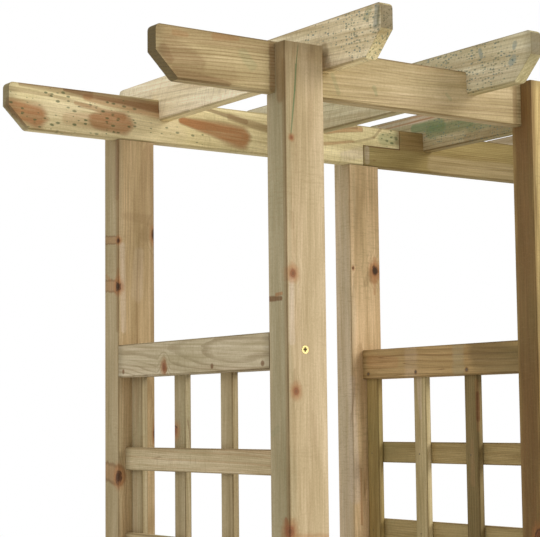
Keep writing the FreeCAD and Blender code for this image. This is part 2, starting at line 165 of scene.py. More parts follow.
class ArbourStage(bpy.types.PropertyGroup):
    key: power("Key light", "Power of the large soft lamp", 225.0)
    side: power("Side light", "Power of the soft lamp on the left", 30.0)
    sky: FloatProperty(name="Surround", description="Strength of the white room",
                       default=0.56, min=0.0)


# Each board is cut from its own log. The pith is the middle of the log, in metres from the middle
# of the board across its width and its thickness. Drift is how far the pith moves across the
# board for each metre along it. Gap is a factor on the ring gap, and rings the strength of the
# ring lines. Finish is the share of heartwood, preservative green and sawn grey. Tint is the
# board's own colour against the usual one; on the middle back beam it also holds painted shade.
Log = namedtuple("Log", "pith drift gap finish rings tint")
LOGS = {
    "beam_front_left": Log((-0.095, 0.02), (0.05, 0.01), 1.15, (0.0, 0.1, 0.0), 0.85,
                           (0.93, 0.93, 0.79)),
    "beam_front_middle": Log((-0.105, 0.015), (0.012, 0.01), 1.2, (0.0, 0.15, 0.0), 0.6,
                             (1.12, 1.12, 0.95)),
    "beam_back_left": Log((-0.12, 0.012), (-0.035, 0.03), 1.5, (0.0, 0.15, 0.0), 0.3,
                          (1.42, 1.56, 1.46)),
    # The middle back beam's dark olive tint holds painted shade over the whole piece.
    "beam_back_middle": Log((-0.08, 0.03), (0.02, 0.01), 0.8, (0.0, 0.3, 0.0), 0.7,
                            (0.63, 0.61, 0.38)),
    "rafter_1": Log((-0.045, 0.05), (0.06, 0.01), 1.3, (0.0, 0.05, 1.0), 0.7, (1.58, 1.58, 1.5)),
    "rafter_2": Log((-0.05, 0.05), (0.04, 0.01), 1.3, (0.0, 0.3, 1.0), 0.7, (1.18, 1.24, 1.18)),
    "rafter_3": Log((0.05, 0.04), (0.01, 0.01), 1.4, (0.25, 0.5, 0.4), 0.9, (0.86, 0.86, 0.74)),
    "post_left_outer_front": Log((0.012, 0.075), (0.006, 0.004), 0.8, (0.0, 0.0, 0.0), 0.18,
                                 (1.03, 1.02, 1.0)),
    "post_left_outer_back": Log((0.02, 0.05), (0.004, 0.003), 0.7, (0.1, 0.1, 0.0), 0.5,
                                (0.9, 0.84, 0.75)),
    "post_left_inner_back": Log((-0.02, 0.06), (0.006, 0.003), 0.7, (0.05, 0.1, 0.0), 0.45,
                                (1.18, 1.09, 1.01)),
    "post_left_inner_front": Log((0.0, 0.05), (0.005, 0.003), 0.8, (0.0, 0.1, 0.0), 0.7,
                                 (1.12, 1.06, 0.74)),
    "top_rail_left_outer": Log((0.015, 0.055), (0.05, 0.01), 0.65, (0.0, 0.1, 0.4), 1.0,
                               (1.05, 1.09, 1.11)),
    "top_rail_left_inner": Log((-0.075, 0.03), (0.03, 0.01), 1.9, (0.0, 0.15, 0.0), 0.75,
                               (0.84, 0.74, 0.54)),
}

# Tints of nodes whose logs are left to chance, as one triple or one for each board
TINTS = {
    "lattice_uprights_left_inner": ((0.8, 0.76, 0.6), (0.45, 0.43, 0.3), (0.97, 1.02, 0.9),
                                    (0.72, 0.67, 0.42)),
    "lattice_cross_laths_left_inner": (0.84, 0.82, 0.62),
    "lattice_uprights_left_outer": (0.8, 0.81, 0.75),
    "lattice_cross_laths_left_outer": (1.06, 1.09, 1.08),
}

# Places and sizes in the next three tables are in millimetres.

# Knots that the photograph shows: middle, half sizes, and how black the middle is. The one of the
# beams lies above the wood that was kept, and only bends its rings.
KNOTS = {
    "post": (
        ((-1149, -257.5, 1890), (2.8, 10, 3), 0.0),
        ((-1149, -257.5, 1696), (6, 10, 7.4), 0.0),
        ((-1146, -257.5, 1530), (5.8, 10, 7), 0.0),
        ((-1158, -256, 1336), (7, 10, 9), 0.0),
        ((-1160, 213.5, 1788), (4, 4, 4.5), 0.7),
        ((-1160, 215, 1712), (6, 6, 8.5), 0.9),
        ((-1160, 215, 1400), (6.5, 7, 11), 0.8),
        ((-1091, 212.5, 1800), (4.5, 10, 9.5), 0.9),
        ((-1091, 212.5, 1470), (3, 10, 12), 0.8),
        ((-612, 212.5, 1762), (8.2, 10, 9.2), 0.95),
        ((-664, 212.5, 1765), (2, 6, 2.6), 0.5),
        ((-677, 212.5, 1488), (3, 10, 4), 0.0),
        ((-672, -250, 1300), (6, 9, 14), 0.4),
        ((-640, -257.5, 1250), (6, 10, 7), 0.3),
    ),
    "rail": (
        ((-1160, 71, 1574), (10, 5, 8), 0.0),
    ),
    "beam": (
        ((-870, -234.5, 2095), (50, 20, 30), 0.0),
    ),
}

# Marks that the photograph shows, each a band along a line: colour, both ends of the line, half
# width at each of them, strength, and the strength of the darker rim if there is one.
# Some rows are painted shade, painted shadow or painted light, as the comment above each says.
MARKS = {
    "post": (
        ("green", (-1135, -257.5, 2026), (-1139, -257.5, 1997), (0.6, 0.9), 1.0),
        ("green", (-1139, -257.5, 1997), (-1142, -257.5, 1959), (1.3, 1.3), 1.0),
        ("green", (-1142, -257.5, 1959), (-1150, -257.5, 1892), (1.3, 0.9), 1.0),
        ("green", (-1160, -232, 1478), (-1160, -220, 1470), (5, 4), 0.35),
        ("olive", (-1167, -236, 2036), (-1167, -236, 300), (25, 25), 0.8),
        ("olive", (-1167, 235, 1956), (-1167, 235, 300), (25, 25), 0.5),
        ("grey", (-677, 235, 1956), (-677, 235, 300), (25, 25), 0.55),
        # Painted shade on the front post's left face, in the corner beside the beam.
        ("brown", (-1160, -246, 2036), (-1160, -247, 1950), (14, 10), 0.7),
        # Painted shadow of the first rafter across the top of the front post's front face.
        ("brown", (-1150, -257.5, 2022), (-1092, -257.5, 2018), (14, 14), 0.22),
        # Painted shade over the whole left face of the inner front post, in late-wood and
        # dark-streak colours.
        ("late", (-677, -236, 2030), (-677, -236, 300), (24.5, 24.5), 1.0),
        ("umber", (-677, -236, 2030), (-677, -236, 300), (24.5, 24.5), 0.5),
        ("brown", (-1161, -255, 2000), (-1161, -255, 300), (4.5, 4.5), 0.5),
        ("brown", (-1161, -212, 1950), (-1161, -212, 300), (3.5, 3.5), 0.35),
        ("pale", (-1152, -257.5, 1690), (-1152, -257.5, 1600), (4, 6), 0.45),
        ("brown", (-1150, -257.5, 1780), (-1149, -257.5, 1762), (5, 4), 0.25),
        ("brown", (-1148, -257.5, 1560), (-1146, -257.5, 1535), (2, 4), 0.35),
        ("umber", (-1160, -214, 1662), (-1160, -243, 1661), (4, 3.5), 0.85),
        ("heart", (-1160, -232, 1667), (-1160, -245, 1668), (3, 2.5), 0.7),
        ("knot", (-1161, -254, 1334), (-1161, -249, 1352), (8, 4), 0.7),
        ("heart", (-1150, -257.5, 1326), (-1095, -257.5, 1320), (7, 10), 0.4),
        ("heart", (-1162, 212.5, 1788.5), (-1162, 260, 1793), (6.2, 6.6), 0.5, 0.55),
        ("heart", (-1162, 215, 1712), (-1162, 260, 1716), (10.5, 8.5), 0.5, 0.5),
        ("heart", (-1162, 215, 1402), (-1162, 260, 1410), (16, 14), 0.5, 0.5),
        ("heart", (-1162, 214, 1740), (-1162, 214, 1722), (4, 8), 0.6),
        ("heart", (-1162, 252, 1732), (-1162, 240, 1724), (4, 4), 0.4),
        ("umber", (-1162, 216, 1956), (-1162, 216, 1860), (6, 5), 0.55),
        ("brown", (-1162, 216, 1860), (-1162, 216, 1640), (5, 4), 0.6),
        ("brown", (-1107, 212.5, 1800), (-1100, 212.5, 1812), (12, 10), 0.35),
        ("brown", (-1093, 212.5, 1950), (-1093, 212.5, 1600), (6, 5), 0.4),
        ("brown", (-1150, 212.5, 1830), (-1100, 212.5, 1826), (6, 9), 0.3),
        ("pale", (-1150, 212.5, 1640), (-1152, 212.5, 1780), (5, 6), 0.45),
        ("pale", (-1125, 212.5, 1700), (-1120, 212.5, 1770), (12, 9), 0.3),
        ("umber", (-1091, 212.5, 1790), (-1091, 212.5, 1770), (1.2, 0.5), 0.8),
        ("heart", (-612, 212.5, 1785), (-614, 212.5, 1720), (4, 3), 0.45),
        ("heart", (-612, 212.5, 1760), (-615, 212.5, 1748), (16, 11), 0.6),
        ("brown", (-624, 212.5, 1757), (-634, 212.5, 1738), (8, 6), 0.45),
        ("pale", (-672, 212.5, 1560), (-668, 212.5, 1350), (10, 14), 0.55),
        ("heart", (-653, 212.5, 1400), (-653, 212.5, 1300), (1.5, 2.5), 0.6),
        ("heart", (-690, 212.5, 1940), (-686, 212.5, 1500), (2.5, 4), 0.25),
    ),
    "rail": (
        ("umber", (-1160, 68, 1569), (-1160, 68, 1583.5), (4, 2.2), 0.45, 0.8),
        ("pale", (-645, 78, 1620), (-645, 78, 1550), (17, 17), 0.2),
        ("olive", (-645, -45, 1620), (-645, -45, 1556), (16, 14), 0.45),
        # Painted shadow of the front post on the front part of the inner top rail, in the
        # end-grain colour.
        ("end", (-645, -100, 1600), (-645, -180, 1572), (30, 36), 0.5),
        ("heart", (-645, 190, 1592), (-645, 120, 1590), (12, 10), 0.28),
    ),
    "panel": (
        ("heart", (-637, -80, 1550), (-637, -82, 1470), (5, 5), 0.3),
        ("umber", (-637, -83, 1530), (-637, -83, 1488), (5, 6), 1.0),
        ("brown", (-637, -66, 1450), (-637, -66, 1380), (4, 6), 0.5),
        ("pale", (-637, 66, 1555), (-637, 64, 1490), (8, 3), 0.4),
    ),
    "beam": (
        ("early", (-1020, -234.5, 2000), (-720, -234.5, 2000), (45, 45), 0.4),
        ("brown", (-1350, -234.5, 2020), (-1175, -234.5, 2023), (13, 11), 0.42),
        ("umber", (-1340, -234.5, 1985), (-1240, -234.5, 1975), (24, 16), 0.16),
        ("heart", (-1263, -234.5, 2026), (-1225, -234.5, 2028), (6, 4), 0.4),
        ("heart", (-1330, -234.5, 2023), (-1310, -234.5, 2022), (5, 4), 0.3),
        ("umber", (-1335, -234.5, 1996), (-1290, -234.5, 1984), (22, 12), 0.3),
        ("umber", (-1328, -234.5, 1966), (-1240, -234.5, 1960), (10, 4), 0.45),
        # Dark band on the front beam beside the inner front post: partly dirt, partly the post's
        # painted shadow.
        ("brown", (-683, -234.5, 2030), (-683, -234.5, 1965), (5, 5), 0.6),
        ("umber", (-1348, -234.5, 1998), (-1338, -234.5, 1984), (8, 7), 0.35),
        # Dark band on the front beam beside the front post: partly dirt, partly the post's
        # painted shadow.
        ("umber", (-1164.5, -234.5, 2026), (-1164.5, -234.5, 1962), (6, 5), 0.55),
        ("green", (-1056, -234.5, 1998), (-1044, -234.5, 1970), (4, 4), 0.22),
        ("green", (-976, -234.5, 1986), (-972, -234.5, 1976), (4, 3), 0.3),
        ("green", (-1215, -234.5, 2008), (-1200, -234.5, 1992), (8, 8), 0.2),
        ("green", (-830, -234.5, 1992), (-822, -234.5, 1985), (3, 3), 0.25),
        # Dark line where the front beam meets the inner front post: partly dirt, partly painted
        # shadow.
        ("brown", (-665, -234.5, 2020), (-665, -234.5, 1965), (6, 6), 0.35),
    ),
    "heart": (
        ("pale", (-1300, 212.5, 1985), (-1060, 212.5, 1982), (30, 34), 0.2),
        ("heart", (-1356, 212.5, 1990), (-1312, 212.5, 1980), (16, 18.5), 0.88, 0.12),
        ("brown", (-1358, 212.5, 2021), (-1287, 212.5, 2018), (3.8, 3.6), 0.5),
        ("brown", (-1287, 212.5, 2018), (-1213, 212.5, 2008), (3.4, 3), 0.4),
        ("heart", (-1240, 212.5, 2010), (-1150, 212.5, 1996), (3, 6), 0.55),
        ("brown", (-1340, 212.5, 2031), (-1215, 212.5, 2026.5), (4, 8), 0.75),
        ("heart", (-1220, 212.5, 2022), (-1083, 212.5, 2012), (6, 13), 0.6),
        ("umber", (-1260, 212.5, 2030), (-1083, 212.5, 2020), (3, 10.5), 0.75),
        ("heart", (-1255, 212.5, 1982), (-1190, 212.5, 1983), (9, 16), 0.35),
        ("heart", (-1200, 212.5, 1985), (-1150, 212.5, 1984), (14, 18), 0.8, 0.12),
        ("heart", (-1035, 212.5, 2002), (-911, 212.5, 1984), (6, 19.5), 0.95, 0.15),
        ("umber", (-1000, 212.5, 2030), (-900, 212.5, 2013), (3, 4.5), 0.6),
        ("brown", (-935, 212.5, 2018), (-850, 212.5, 2004), (6, 8), 0.65),
        ("heart", (-725, 212.5, 2013), (-640, 212.5, 2026), (4, 4.5), 0.75, 0.3),
        ("umber", (-690, 212.5, 2024), (-650, 212.5, 2028), (3, 3), 0.45),
        ("heart", (-735, 212.5, 1989), (-660, 212.5, 2001), (3.5, 2.5), 0.55),
        ("brown", (-660, 212.5, 1999), (-609, 212.5, 2013), (1.8, 2.2), 0.55),
        ("brown", (-609, 212.5, 2013), (-590, 212.5, 2034), (2.2, 3), 0.6),
        ("green", (-585, 212.5, 2012), (-556, 212.5, 2016), (14, 13), 0.4),
        ("pale", (-680, 212.5, 1972), (-645, 212.5, 1980), (10, 12), 0.45),
        ("umber", (-635, 212.5, 1995.5), (-547, 212.5, 1995.5), (1.1, 1.1), 0.9),
        ("umber", (-635, 212.5, 1995.5), (-635, 212.5, 1958), (1.1, 1.1), 0.9),
        ("umber", (-547, 212.5, 1995.5), (-547, 212.5, 2033), (1.1, 1.1), 0.9),
        # Painted light: the lit end of the middle back beam's lower half, just past the lap.
        ("pale", (-626.5, 212.5, 1990), (-626.5, 212.5, 1966), (5.5, 5.5), 0.55),
        # Painted shadow of the third rafter on the back beam's upper half, just left of the
        # rafter.
        ("umber", (-541, 212.5, 2016), (-495, 212.5, 2014), (18, 18), 0.45),
        ("early", (-460, 212.5, 1974), (-100, 212.5, 1974), (17, 20), 0.42),
    ),
    "sawn": (
        ("green", (-488, 240, 2046), (-488, 160, 2040), (9, 13), 0.75),
        ("green", (-488, 190, 2032), (-488, 80, 2034), (14, 9), 0.6),
        ("green", (-488, 110, 2044), (-488, 20, 2038), (6, 4), 0.5),
        ("green", (-488, 80, 2022), (-488, -20, 2026), (8, 5), 0.4),
        ("pale", (-488, 345, 2062), (-488, 60, 2064), (9, 6), 0.75),
        ("heart", (-488, 345, 2058), (-488, 120, 2060), (1.8, 1.4), 0.75),
        ("heart", (-488, 345, 2067), (-488, 160, 2068), (1.6, 1.2), 0.65),
        ("brown", (-488, 90, 2006), (-488, -60, 2008), (8, 10), 0.5),
        # Painted shade in the gap beside the front post, and the post's painted shadow on the
        # first rafter's side in front of it.
        ("brown", (-1080, -248, 2030), (-1080, -252, 1998), (8, 12), 0.5),
        ("brown", (-1080, -262, 2000), (-1080, -312, 2002), (8, 4), 0.38),
        ("blue", (-1080, -370, 2064), (-1080, -366, 2040), (5, 6.5), 0.5),
        ("speck", (-1080, -374, 2062), (-1080, -371, 2042), (2.5, 3.5), 0.5),
        ("green", (-1080, -352, 2064), (-1080, -345, 2056), (7, 6), 0.35),
        ("blue", (-788, -267, 2061), (-788, -270, 2050), (4, 4), 0.55),
        ("blue", (-788, -344, 2056), (-788, -342, 2050), (5, 4), 0.5),
        ("blue", (-788, -341, 2034), (-788, -335, 2028), (6, 6), 0.55),
        ("brown", (-1080, 240, 1999), (-1080, 120, 1999), (4, 3), 0.35),
    ),
}

# Where drops of preservative dried: middle, half sizes and strength
SPECKS = (
    ((-1080, -345, 2040), (40, 62, 55), 0.78),
    ((-1080, -270, 2045), (40, 90, 32), 0.55),
    ((-788, -220, 2040), (40, 140, 55), 0.8),
    ((-488, 60, 2035), (40, 180, 50), 0.72),
    ((-1240, 212, 1995), (150, 40, 45), 0.58),
    ((-1080, 212, 1975), (110, 40, 25), 0.46),
    ((-570, 212, 2015), (30, 40, 20), 0.7),
)


def wood():
    """The settings of the wood."""
    return bpy.context.scene.arbour_wood


def metal():
    """The settings of the fasteners."""
    return bpy.context.scene.arbour_metal


# Shader helpers


def method(operation):
    """A wire's method that adds a maths node."""
    return lambda wire, *others: wire.graph.maths(operation, wire, *others)


class Wire:
    """A shader node's output. Sums, products and the like add a maths node."""

    def __init__(self, graph, socket):
        self.graph, self.socket = graph, socket

    __add__, __sub__, __mul__, __truediv__, __abs__ = map(
        method, ("ADD", "SUBTRACT", "MULTIPLY", "DIVIDE", "ABSOLUTE"))
    larger, smaller = method("MAXIMUM"), method("MINIMUM")
    scaled = method("MULTIPLY_ADD")      # by a factor, plus an offset

    def __rsub__(self, other):
        return self.graph.maths("SUBTRACT", other, self)

    def around_one(self, amount):
        """Turns noise round a half into a factor round 1."""
        return (self - 0.5).scaled(amount, 1.0)

    def smooth(self, low, high, start=0.0, end=1.0):
        """Goes from start to end with a soft step while the value goes from low to high."""
        return self.graph.add("ShaderNodeMapRange", (self, low, high, start, end),
                              interpolation_type="SMOOTHSTEP")


class Graph:
    """Adds shader nodes to a material and joins them. Most methods give back a wire."""

    def __init__(self, tree):
        self.tree = tree
        tree.nodes.clear()

    def node(self, kind, values=(), **settings):
        """A node with its sockets filled, in their order or by name."""
        made = self.tree.nodes.new(kind)
        for name, value in settings.items():
            setattr(made, name, value)
        for key, value in values.items() if isinstance(values, dict) else enumerate(values):
            if isinstance(value, Wire):
                self.tree.links.new(value.socket, made.inputs[key])
            else:
                made.inputs[key].default_value = value
        return made

    def add(self, kind, values=(), output=0, **settings):
        """One output of a new node."""
        return Wire(self, self.node(kind, values, **settings).outputs[output])

    def maths(self, operation, *values, clamp=False):
        """A sum or the like, of which some values may be plain numbers."""
        return self.add("ShaderNodeMath", values, operation=operation, use_clamp=clamp)

    def vector(self, operation, *values):
        if operation == "SCALE":
            values = {0: values[0], "Scale": values[1]}
        output = "Value" if operation in ("DOT_PRODUCT", "LENGTH") else "Vector"
        return self.add("ShaderNodeVectorMath", values, output, operation=operation)

    def split(self, vector):
        outputs = self.node("ShaderNodeSeparateXYZ", [vector]).outputs
        return [Wire(self, output) for output in outputs]

    def join(self, *parts):
        return self.add("ShaderNodeCombineXYZ", parts)

    def mix(self, share, *colours, blend="MIX"):
        """Mixes two colours. One of the wood's own can be given by its name."""
        values = {0: share}
        for key, value in zip((6, 7), colours):
            if isinstance(value, str):
                value = getattr(wood(), value)
            values[key] = value if isinstance(value, Wire) else (*value, 1.0)
        return self.add("ShaderNodeMix", values, 2, data_type="RGBA", blend_type=blend,
                        clamp_factor=True)

    def tinted(self, share, first, second):
        """The first colour times the second."""
        return self.mix(share, first, second, blend="MULTIPLY")

    def noise(self, vector, scale, detail=2.0, roughness=0.5):
        values = {"Vector": vector, "Scale": scale, "Detail": detail, "Roughness": roughness}
        return self.add("ShaderNodeTexNoise", values, "Fac")

    def cells(self, vector, scale):
        """Distance, colour and place of the nearest of many random points."""
        outputs = self.node("ShaderNodeTexVoronoi", {"Vector": vector, "Scale": scale},
                            voronoi_dimensions="3D", feature="F1").outputs
        return [Wire(self, outputs[name]) for name in ("Distance", "Color", "Position")]

    def place(self):
        """Place on the seat, which is the same for all pieces."""
        return self.add("ShaderNodeTexCoord", output="Object")

    def attribute(self, name):
        return self.add("ShaderNodeAttribute", output="Vector", attribute_name=name)

    def surface(self, **inputs):
        """A Principled surface joined to the output."""
        values = {name.replace("_", " "): value for name, value in inputs.items()}
        self.show(self.add("ShaderNodeBsdfPrincipled", values))

    def show(self, shader, target="Material"):
        """Joins a shader to the output."""
        self.node("ShaderNodeOutput" + target, [shader])


def new_material(name):
    """A new material and the graph of its nodes."""
    made = bpy.data.materials.new(name)
    made.use_nodes = True
    return made, Graph(made.node_tree)


def reach_of(g, place, centre, half):
    """Distance from the middle of an ellipsoid, 1 at its surface."""
    offset = g.vector("SUBTRACT", place, centre)
    return g.vector("LENGTH", g.vector("DIVIDE", offset, half))


def random_knots(g, along, across, deep, radius, size):
    """Reach of the nearest branch, 1 at its bark, and its radius in metres.

    A branch is a straight line out of the pith, so it has a place along the board and a
    direction round the pith. Cells of that plane hold one branch each, and half of them none.
    """
    unit = g.join(along / KNOT_PITCH, across / radius, deep / radius)
    _, chances, middle = g.cells(unit, 1.0)
    offset = g.vector("SUBTRACT", unit, middle)
    metres = g.vector("MULTIPLY", offset, g.join(KNOT_PITCH * 0.8, radius, radius))
    own = g.split(chances)[0].smooth(0.42, 1.0, 0.0, 0.0095) * size
    return g.vector("LENGTH", metres) / own.larger(0.0002), own


def dried_drops(g, grain, pitch, ragged, wet):
    """Share of drops of preservative, and a tone for each.

    Cells twice as long as the pitch lie along the grain. Each holds one drop, whose size is
    random, and the less wet the wood, the smaller it is, down to none.
    """
    distance, chances, _ = g.cells(g.vector("MULTIPLY", grain, (0.5, 1.0, 1.0)), 1.0 / pitch)
    chance, tone, _ = g.split(chances)
    size = (chance + wet).smooth(0.85, 1.75, 0.0, 0.52) * wet.smooth(0.05, 0.20)
    reach = distance * ragged / size.larger(0.01)
    share = reach.smooth(1.2, 0.6) * size.smooth(0.02, 0.20, 0.0, 0.85)
    return share * tone.scaled(0.3, 0.7), tone


def stroke(g, place, start, end, first, last):
    """Distance from the line between two points, 1 at the edge of a band along it."""
    run = Vector(end) - Vector(start)
    offset = g.vector("SUBTRACT", place, start)
    share = g.maths("DIVIDE", g.vector("DOT_PRODUCT", offset, tuple(run)), run.length_squared,
                    clamp=True)
    aside = g.vector("SUBTRACT", offset, g.vector("SCALE", tuple(run), share))
    return g.vector("LENGTH", aside) / share.scaled(last - first, first)


def softwood_material(name, knots, marks, specks, sawn):
    """Treated softwood as a solid, so that faces, edges and ends belong together.

    The distance from the pith gives the growth rings. Slow noise bends them, and they swell
    round each knot. Fine streaks run along the grain. Heartwood, preservative, end grain and
    specks are laid over that, and then the marks of single boards at their own places.
    """
    material, g = new_material(name)
    grain, axis = g.attribute("grain"), g.attribute("axis")
    place = g.place()
    normal = g.add("ShaderNodeNewGeometry", output="Normal")
    along, across, deep = g.split(grain)
    seed, gap, ring_strength = g.split(g.attribute("board"))
    red, green, grey = g.split(g.attribute("finish"))
    knot_size, end_tone, half_length = g.split(g.attribute("extra"))
    to_end = half_length - abs(g.split(g.attribute("local"))[0])

    def streaks(lengthwise, sideways, detail=2.0, roughness=0.5, scale=1.0):
        """Noise that is drawn out along the grain."""
        return g.noise(g.vector("MULTIPLY", grain, (lengthwise, sideways, sideways)), scale,
                       detail, roughness)

    slow = streaks(2.4, 8.0)
    quick = streaks(9.0, 90.0)
    fibre = streaks(14.0, 620.0, 3.0, 0.65)
    streak = streaks(3.5, 170.0, 3.0, 0.6)
    patch = streaks(4.0, 26.0, 3.0)
    damp = streaks(1.7, 24.0, 4.0, 0.6, 1.7)
    cloud = g.noise(g.vector("ADD", place, (3.1, 1.7, 0.4)), 5.0, 3.0)

    # Knots swell the rings round them.
    pith = g.vector("LENGTH", g.join(0.0, across, deep))
    ragged = g.noise(place, 170.0).around_one(0.45) + (g.noise(place, 45.0, 1.0) - 0.5) * 0.6
    reach, size = random_knots(g, along, across, deep, pith, knot_size)
    reach = reach * ragged
    swell = reach.smooth(4.5, 0.0, 0.0, size)
    dead, live = 0.0, 0.0
    for centre, half, dark in knots:
        plain = reach_of(g, place, centre, half)
        own = plain * ragged
        reach = reach.smaller(own)
        if dark:
            dead = own.smooth(1.05, 0.55, 0.0, dark).larger(dead)
        else:
            live = own.smooth(2.0, 1.5).larger(live)
        swell = swell + plain.smooth(4.5, 0.0, 0.0, 0.8 * sorted(half)[1])

    # Growth rings, each year with a shade of its own
    bend = (slow - 0.5) * 0.020 + (quick - 0.5) * 0.0018
    rings = (pith + bend + swell) / gap
    part = g.maths("FRACT", rings)
    year = {"Vector": g.join(g.maths("FLOOR", rings), seed, 0.0)}
    year_shade = g.add("ShaderNodeTexWhiteNoise", year, "Value", noise_dimensions="2D")
    line = part.smooth(0.52, 0.84) * part.smooth(1.0, 0.93) * year_shade.scaled(0.6, 0.45)
    line = line * streak.smooth(0.25, 0.65, 0.6, 1.0) * damp.smooth(0.30, 0.60, 0.55, 1.0)
    line = g.maths("MULTIPLY", line, ring_strength, clamp=True)

    base = g.mix(line, "early", "late")
    flame = red.scaled(0.45, year_shade).smooth(0.80, 0.86) * part.smooth(0.02, 0.12)
    base = g.mix(flame * (red * 0.85), base, "heart")
    base = g.mix(grey * patch.smooth(0.25, 0.75, 0.65, 0.95), base,
                 g.mix(line * 0.42, "grey", "late"))
    base = g.mix(damp.smooth(0.46, 0.74, 0.0, 0.42), base, "brown")
    base = g.tinted(1.0, base, g.attribute("tint"))

    # The board's own marks, among them painted shade, painted shadow and painted light, and then
    # the fine texture over them
    fading = streak.smooth(0.2, 0.6, 0.65, 1.0)
    wander = quick.around_one(0.75) + (streak - 0.5) * 0.55
    for shade_name, start, end, (first, last), strength, *rim in marks:
        own = stroke(g, place, start, end, first, last) * wander
        base = g.mix(own.smooth(1.30, 0.62, 0.0, strength) * fading, base, shade_name)
        if rim:
            edge = own.smooth(0.65, 0.95, 0.0, rim[0]) * own.smooth(1.3, 1.0)
            base = g.mix(edge, base, "umber")
    mottle = g.noise(place, 330.0, 3.0, 0.7)
    shade = (fibre.around_one(0.75) * streak.around_one(ring_strength.scaled(0.80, 0.22))
             * patch.around_one(0.85) * mottle.around_one(0.42))
    texture = g.join(g.maths("POWER", shade, 0.92), shade, g.maths("POWER", shade, 1.35))
    base = g.tinted(1.0, base, texture)

    # Planer chatter across the grain, preservative and fine cracks
    cross = g.noise(g.join(along * 380.0, across * 55.0, deep * 55.0), 1.0)
    chatter = cross.smooth(0.48, 0.72) * cloud.smooth(0.38, 0.62)
    base = g.mix(chatter * 0.26, base, "brown")
    base = g.mix(cloud.smooth(0.42, 0.74) * green.scaled(0.75, 0.12), base,
                 g.mix(0.5, base, "green"))
    crack = abs(streaks(1.5, 75.0, 1.0) - 0.5).smooth(0.0075, 0.001) * patch.smooth(0.60, 0.68)
    base = g.mix(crack * 0.5, base, "umber")

    # Knots: a red halo, a turned middle, and bark round the dead ones
    halo = reach.smooth(2.6, 1.0) * reach.smooth(0.8, 1.1)
    base = g.mix(halo * 0.60, base, g.tinted(0.85, "heart", texture))
    turns = g.maths("SINE", reach * 17.0).scaled(0.5, 0.5)
    heart = g.mix(turns * 0.35, "knot", "heart")
    heart = g.mix(reach.smooth(0.7, 0.1, 0.0, 0.35), heart, "bark")
    base = g.mix(reach.smooth(1.25, 0.72, 0.0, 0.92), base, heart)
    base = g.mix(dead, base, g.mix(turns.smooth(0.6, 1.0, 0.0, 0.35), "bark", "end"))
    bark = (reach.smooth(0.70, 0.98) * reach.smooth(1.30, 1.02)
            * g.noise(place, 80.0, 1.0).smooth(0.46, 0.62) * (1.0 - live))
    base = g.mix(bark * 0.75, base, "bark")

    wet = cloud.smooth(0.50, 0.66) * (green * 0.6)
    for centre, half, strength in specks:
        own = reach_of(g, place, centre, half)
        wet = wet.larger(own.smooth(1.15, 0.75, 0.0, strength))
    wet = wet * g.noise(place, 60.0).smooth(0.32, 0.54, 0.72, 1.08)
    drops, tone = dried_drops(g, grain, SAWN_DROP if sawn else PLANED_DROP, ragged, wet)
    base = g.mix(drops, base, g.mix(tone * (0.8 if sawn else 0.0), "speck", "blue"))

    # Sawn cuts with painted light on undersides, end grain, wood soaked by it, and edges darkened
    # by handling
    facing = abs(g.vector("DOT_PRODUCT", normal, axis))
    if sawn:
        cut = facing.smooth(0.45, 0.60) * facing.smooth(0.90, 0.80)
        # Faces that look down get the same yellow tint, as painted light from below.
        cut = cut.larger(g.split(normal)[2].smooth(-0.5, -0.9))
        base = g.mix(cut * 0.7, base, g.tinted(1.0, base, SAWN_CUT_AND_UNDERSIDE_LIGHT))
    ends = g.mix(line * 0.7, [1.1 * c for c in wood().end], [0.5 * c for c in wood().end])
    ends = g.mix(g.noise(place, 850.0).smooth(0.35, 0.75, 0.0, 0.35), ends, "late")
    faces_along = facing.smooth(0.80, 0.90) if sawn else facing.smooth(0.40, 0.80)
    base = g.mix(faces_along * end_tone, base, ends)
    soak = to_end.smooth(0.022, 0.0) * streak.smooth(0.3, 0.6, 0.5, 1.0)
    base = g.mix(soak * 0.38, base, "end")
    side = g.vector("MULTIPLY", normal, g.vector("SUBTRACT", (1.0, 1.0, 1.0), axis))
    x, y, z = g.split(g.vector("ABSOLUTE", side))
    second = x.smaller(y).larger(x.larger(y).smaller(z))
    worn = second.smooth(0.12, 0.45) * damp.smooth(0.30, 0.60, 0.30, 0.85)
    base = g.mix(worn * 0.75, base, g.tinted(1.0, base, WORN_EDGE))

    height = (fibre * 0.60 + line * 0.50 + streak * 0.35 + reach.smooth(1.3, 0.8, 0.0, 0.5)
              - bark * 0.9 - crack * 1.2 + cross * 0.30)
    if sawn:
        slant = along.scaled(340.0, across * 160.0)
        teeth = g.noise(g.join(slant, across * 12.0, seed), 1.0, 1.0, 0.3)
        height = height + teeth * 0.9
        base = g.mix(teeth.smooth(0.55, 0.35, 0.0, 0.10), base, "late")
    bump = g.add("ShaderNodeBump", {"Strength": 0.6, "Distance": GRAIN_DEPTH, "Height": height})
    g.surface(Base_Color=base, Roughness=line.smooth(0.0, 1.0, 0.80, 0.62), Normal=bump,
              Specular_IOR_Level=0.28)
    return material


def nail_levels(top, bottom):
    """Heights of the nails in a top and a bottom rail, from the rails' boxes."""
    return top[0].z + NAIL_EDGE, bottom[1].z - NAIL_EDGE


def nail_stains():
    """A small dark stain in the rails round each nail of an upright lath."""
    low, high = boards_of("lattice_uprights_left_inner")
    top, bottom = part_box("top_rail_left_inner"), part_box("bottom_rail_left_inner")
    return [("umber", (-1.2, y, z), (1.2, y + 0.0006, z), (0.0042, 0.0042), 0.8)
            for y in (low[:, 1] + high[:, 1]) / 2 for z in nail_levels(top, bottom)]


def in_metres(rows):
    """Rows of a table with each place and size turned from millimetres to metres."""
    return [[tuple(number / 1000 for number in value) if isinstance(value, tuple) else value
             for value in row] for row in rows]


